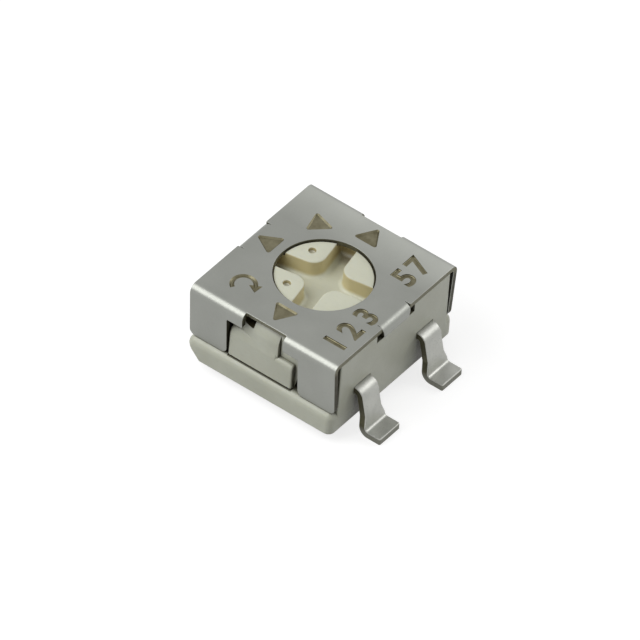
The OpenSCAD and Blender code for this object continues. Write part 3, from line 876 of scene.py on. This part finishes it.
def makeHousing():
    half, upper = housing["length"] / 2, housing["upperHalf"]
    low, high, ledge = housing["low"], housing["high"], housing["ledge"]
    outline = rectangle((-housing["width"] / 2, -half), (housing["width"] / 2, half))
    body = easedSolid("mouldedBody", outline, low, ledge, housing["skirtCorner"],
                      *housing["skirtEase"], [bodyPlastic], 8)
    blocks = [rectangle((-upper, -half), (upper, -housing["frontBlock"])),
              rectangle((-upper, housing["backBlock"]), (upper, half))]
    blocks = [easedSolid("block", corners, low + housing["blockLift"], high,
                         housing["blockCorner"], 0, housing["blockEase"]) for corners in blocks]
    combine(body, [makeBarrel()] + makePads() + blocks, "UNION")
    pocketLow, pocketHigh = housing["pocket"]
    hub, well = housing["hubHole"], housing["wellRadius"]
    tools = [chamferTool(),
             blockTool("pocketTool", (*pocketLow, low - past), (*pocketHigh, housing["pocketTop"])),
             lathedSolid("hubHoleTool", [(hub, low), (hub, high + past)]),
             lathedSolid("wellTool", [(well, housing["webTop"]), (well, high + past)]),
             ringSector("stopTool", *housing["stopRadii"], housing["stopFloor"], high + past,
                        *housing["stopReach"])]
    for side in (-1, 1):
        tools += [reliefTool(side), grooveTool(side), notchPocketTool(side)]
        tools += tabRecessTools(side)
        tools.append(leadSlotTool("frontSlot", side * housing["leadPlace"], -half - past,
                                  -housing["landFront"] + housing["landOver"]))
    tools.append(leadSlotTool("backSlot", 0, housing["landBack"] - housing["landOver"],
                              half + past))
    combine(body, tools, "DIFFERENCE")
    return finishSolid(body, "base", ["housing"], 32)


makeHousing()
print("housing moulded")


# Rotor with its cross slot

rotor = {
    "hubRadius": 1.24,
    "discRadius": 1.55,
    "crownRadius": 1.13,      # raised middle in the cover's hole
    "hubLow": 1.24,
    "hubChamfer": 0.02,
    "discLow": 1.64,
    "shoulder": 2.21,
    "top": 2.31,
    "edgeEase": 0.025,
    "setAngle": 10,
    "slotWidth": 0.48,
    "slotDepth": 0.45,
    "slotReach": 1.32,
    "slotEndCorner": 0.05,
    "slotCorner": 0.32,
    "lip": 0.045,
    "floorEase": 0.12,
    "dimpleRadius": 0.09,
    "dimpleDepth": 0.1,
    "dimpleDistance": 0.87,
    "dimpleTurns": (45, 135),
    "dimpleForm": ((1, 0.45), (0.75, 0.85), (0.3, 1), (0.1, 1.05), (0, 1.18)),
    "dimplePoints": 24,
    "lugRadii": (1.2, 1.72),
    "lugLow": 2.01,
    "lugSink": 0.001,         # the lug's top lies this much under the shoulder
    "lugTurn": -90,
    "lugHalf": 9,
}


def flaredCutter(name, corners, radius, low, high, lip, floorEase):
    # Cutter with a rounded lip at the upper face and a small radius at the floor
    levels = [(low + floorEase * (1 - math.cos(a)), -floorEase * (1 - math.sin(a)))
              for a in quarterTurn]
    levels += [(high - lip * (1 - math.sin(a)), lip * (1 - math.cos(a))) for a in quarterTurn]
    levels.append((high + past, lip))
    return loftedSolid(name, [(z, roundedOutline(corners, radius, grow, 8))
                              for z, grow in levels])


def dimpleCutter(angle):
    # The form gives shares of the dimple's depth and radius, from its bottom up
    centre = turned([(rotor["dimpleDistance"], 0)], angle)[0]
    rings = [(rotor["top"] - deep * rotor["dimpleDepth"], wide * rotor["dimpleRadius"])
             for deep, wide in rotor["dimpleForm"]]
    rings.append((rotor["top"] + past, rings[-1][1]))
    return loftedSolid("dimpleCutter", [(z, circlePoints(centre, radius, rotor["dimplePoints"]))
                                        for z, radius in rings])


def makeRotor():
    top, ease, shoulder = rotor["top"], rotor["edgeEase"], rotor["shoulder"]
    hub, chamfer = rotor["hubRadius"], rotor["hubChamfer"]
    profile = [(hub - chamfer, rotor["hubLow"]), (hub, rotor["hubLow"] + chamfer),
               (hub, rotor["discLow"]), (rotor["discRadius"], rotor["discLow"])]
    profile += easedRim(rotor["discRadius"], shoulder, ease)
    profile += [(rotor["crownRadius"], shoulder)] + easedRim(rotor["crownRadius"], top, ease)
    piece = lathedSolid("crossSlotRotor", profile, 144, [rotorPlastic])
    lugMiddle = rotor["lugTurn"] + rotor["setAngle"]
    lug = ringSector("lug", *rotor["lugRadii"], rotor["lugLow"], shoulder - rotor["lugSink"],
                     lugMiddle - rotor["lugHalf"], lugMiddle + rotor["lugHalf"])
    combine(piece, [lug], "UNION")
    half, reach = rotor["slotWidth"] / 2, rotor["slotReach"]
    cross, radii = [], []
    for turn in (0, 90, 180, 270):
        cross += turned([(reach, -half), (reach, half), (half, half)], turn + rotor["setAngle"])
        radii += [rotor["slotEndCorner"], rotor["slotEndCorner"], rotor["slotCorner"]]
    cutters = [flaredCutter("crossCutter", cross, radii, top - rotor["slotDepth"], top,
                            rotor["lip"], rotor["floorEase"])]
    cutters += [dimpleCutter(turn + rotor["setAngle"]) for turn in rotor["dimpleTurns"]]
    combine(piece, cutters, "DIFFERENCE")
    return finishSolid(piece, "turning", ["rotor"], 32)


makeRotor()
print("rotor turned")


# Terminals: straight blanks bent into gull-wing leads

lead = {
    "sheet": 0.18,
    "stripWidth": 2 * housing["stripHalf"],
    "footWidth": 0.74,
    "corners": (0.02, 0.04),  # at the buried end and at the foot's tip
    "flare": (0.04, 0.286),   # above the heel's start, where the foot's width ends and begins
    "flareEase": 0.2,
    "shoulder": 2.045,        # from the axis to the first bend
    "top": housing["stripHigh"],
    "bendRadius": 0.08,
    "slope": 13,
    "footLength": 0.3459,
    "places": {               # x, the side it leaves from and its buried end
        "terminal_1": (-housing["leadPlace"], -1, housing["landFront"]),
        "terminal_2": (0, 1, housing["landBack"]),
        "terminal_3": (housing["leadPlace"], -1, housing["landFront"]),
    },
    "rimEase": 0.022,
    "bendSteps": 16,
}


def leadStations(start):
    # Lengths along the strip's middle at which each stretch begins
    slope, turn = math.radians(lead["slope"]), math.radians(90 - lead["slope"])
    middle = lead["bendRadius"] + lead["sheet"] / 2
    fall = lead["top"] - 2 * (lead["sheet"] + lead["bendRadius"])
    leg = (fall + 2 * middle * math.sin(slope)) / math.cos(slope)
    bendStart = lead["shoulder"] - start
    legStart = bendStart + middle * turn
    heelStart = legStart + leg
    footStart = heelStart + middle * turn
    return bendStart, legStart, heelStart, footStart, middle, turn


def alongLead(s, start):
    # Middle of the strip at length s, as (distance from the axis, height, heading down)
    bendStart, legStart, heelStart, footStart, middle, turn = leadStations(start)
    z = lead["top"] - lead["sheet"] / 2
    if s <= bendStart:
        return start + s, z, 0.0
    bend = min(s, legStart) - bendStart
    u = start + bendStart + middle * math.sin(bend / middle)
    z -= middle * (1 - math.cos(bend / middle))
    if s <= legStart:
        return u, z, bend / middle
    leg = min(s, heelStart) - legStart
    u, z = u + leg * math.cos(turn), z - leg * math.sin(turn)
    if s <= heelStart:
        return u, z, turn
    heading = turn - (min(s, footStart) - heelStart) / middle
    u += middle * (math.sin(turn) - math.sin(heading))
    z -= middle * (math.cos(heading) - math.cos(turn))
    if s <= footStart:
        return u, z, heading
    return u + s - footStart, z, 0.0


def makeTerminal(node):
    x, side, start = lead["places"][node]
    bendStart, legStart, heelStart, footStart, middle, turn = leadStations(start)
    end = footStart + lead["footLength"]
    wide, narrow = heelStart - lead["flare"][0], heelStart - lead["flare"][1]
    halfStrip, halfFoot, ease = lead["stripWidth"] / 2, lead["footWidth"] / 2, lead["flareEase"]
    buriedCorner, tipCorner = lead["corners"]
    lower = [(0, -halfStrip, buriedCorner), (narrow, -halfStrip, ease), (wide, -halfFoot, ease),
             (end, -halfFoot, tipCorner)]
    corners = lower + [(s, -across, radius) for s, across, radius in lower[::-1]]
    outline = roundedOutline([(s, across) for s, across, radius in corners],
                             [radius for s, across, radius in corners], 0, 4)
    bm = blankSlab([outline], lead["sheet"], lead["rimEase"])
    steps = lead["bendSteps"]
    foldLines(bm, [first + (last - first) * i / steps for i in range(steps + 1)
                   for first, last in ((bendStart, legStart), (heelStart, footStart))], "x")
    for vert in bm.verts:
        s, across, depth = vert.co
        u, z, heading = alongLead(s, start)
        lift = depth + lead["sheet"] / 2
        u, z = u + lift * math.sin(heading), z + lift * math.cos(heading)
        vert.co = (x + across, side * u, z)
    piece = meshObject("gullWing" + node[-1], bm, [surfaces["tinPlate"], leadSide])
    return finishSolid(piece, "base", [node], 20, True)


for node in lead["places"]:
    makeTerminal(node)
print("terminals bent")


# Pieces kept from the frame

keptFinishes = {
    "seal_ring": "sealRubber", "wiper": "springAlloy", "substrate": "alumina",
    "resistive_track": "resistorInk", "collector_pad": "conductorInk",
    "end_pad_1": "conductorInk", "end_pad_3": "conductorInk", "solder_1": "solderMetal",
    "solder_2": "solderMetal", "solder_3": "solderMetal", "back_seal": "castResin",
}
for node, finish in keptFinishes.items():
    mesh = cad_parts[node].data
    mesh.materials.clear()
    mesh.materials.append(surfaces[finish])
print("kept pieces finished")


# Floor, light and camera

stage = {
    "floorSize": 1.2,         # in metres
    "floorDrop": 0.002,       # below the feet, so that no face is shared
    "floorColour": 0.43,
    "floorGlow": 0.76,
    "ambient": 0.25,
    "lamps": {
        "key": {"place": (-31, 25, 44), "size": 52, "power": 0.0228},
        "cross": {"place": (44, -26, 28), "size": 40, "power": 0.0103},
    },
}


def seenOrMirrored(owner):
    # 1 for what the camera, a reflection or a refraction sees, 0 for what lights the object
    path = addNode(owner, "ShaderNodeLightPath")
    seen = path.outputs["Is Camera Ray"]
    for ray in ("Is Glossy Ray", "Is Transmission Ray"):
        either = addNode(owner, "ShaderNodeMath", operation="MAXIMUM")
        owner.node_tree.links.new(seen, either.inputs[0])
        owner.node_tree.links.new(path.outputs[ray], either.inputs[1])
        seen = either.outputs["Value"]
    return seen


def makeWorld():
    world = bpy.data.worlds.new("whiteTent")
    scene.world = world
    world.use_nodes = True
    background = world.node_tree.nodes["Background"]
    background.inputs["Color"].default_value = (1, 1, 1, 1)
    level = spread(world, seenOrMirrored(world), stage["ambient"], 1, 0, 1)
    world.node_tree.links.new(level, background.inputs["Strength"])


def palePaper():
    # Matt paper that takes the shadow, and a glow that only shows and mirrors
    material = bpy.data.materials.new("palePaper")
    material.use_nodes = True
    tree = material.node_tree
    tree.nodes.remove(tree.nodes["Principled BSDF"])
    paper = addNode(material, "ShaderNodeBsdfDiffuse")
    paper.inputs["Color"].default_value = (*[stage["floorColour"]] * 3, 1)
    level = spread(material, seenOrMirrored(material), 0, stage["floorGlow"], 0, 1)
    glow = addNode(material, "ShaderNodeEmission", {"Strength": level})
    both = addNode(material, "ShaderNodeAddShader")
    tree.links.new(paper.outputs["BSDF"], both.inputs[0])
    tree.links.new(glow.outputs["Emission"], both.inputs[1])
    tree.links.new(both.outputs["Shader"], tree.nodes["Material Output"].inputs["Surface"])
    return material


def makeFloor():
    half = stage["floorSize"] / 2
    bm = bmesh.new()
    bm.faces.new([bm.verts.new((x, y, -stage["floorDrop"] * mm))
                  for x, y in rectangle((-half, -half), (half, half))])
    meshObject("paleFloor", bm, [palePaper()])


def makeLight(name, place, size, power):
    lamp = bpy.data.lights.new(name, "AREA")
    lamp.shape = "SQUARE"
    lamp.size = size * mm
    lamp.energy = power
    light = bpy.data.objects.new(name, lamp)
    light.location = Vector(place) * mm
    light.rotation_euler = (-light.location).to_track_quat("-Z", "Y").to_euler()
    scene.collection.objects.link(light)


photo = {
    "azimuth": -55.6,
    "elevation": 43.7,
    "roll": 4.57,
    "lens": 1000,
    "sensor": 36,
    "pixels": 640,
    "pixelsPerMm": 45.0,
    "aim": (-1.218, -0.818, cover["top"]),    # what the middle of the picture looks at
}


def makeCamera():
    data = bpy.data.cameras.new("photoCamera")
    data.lens = photo["lens"]
    data.sensor_width = photo["sensor"]
    data.clip_start = 0.01
    data.clip_end = 20
    camera = bpy.data.objects.new("photoCamera", data)
    scene.collection.objects.link(camera)
    azimuth, elevation = math.radians(photo["azimuth"]), math.radians(photo["elevation"])
    way = Vector((math.sin(azimuth) * math.cos(elevation), -math.cos(azimuth) * math.cos(elevation),
                  math.sin(elevation)))
    distance = photo["lens"] / photo["sensor"] * photo["pixels"] / photo["pixelsPerMm"]
    camera.location = (Vector(photo["aim"]) + way * distance) * mm
    facing = (-way).to_track_quat("-Z", "Y").to_matrix()
    roll = Matrix.Rotation(math.radians(photo["roll"]), 3, "Z")
    camera.rotation_euler = (facing @ roll).to_euler()
    scene.camera = camera


makeWorld()
makeFloor()
for name, values in stage["lamps"].items():
    makeLight(name, **values)
makeCamera()
scene.view_settings.view_transform = "Standard"
print("stage set")
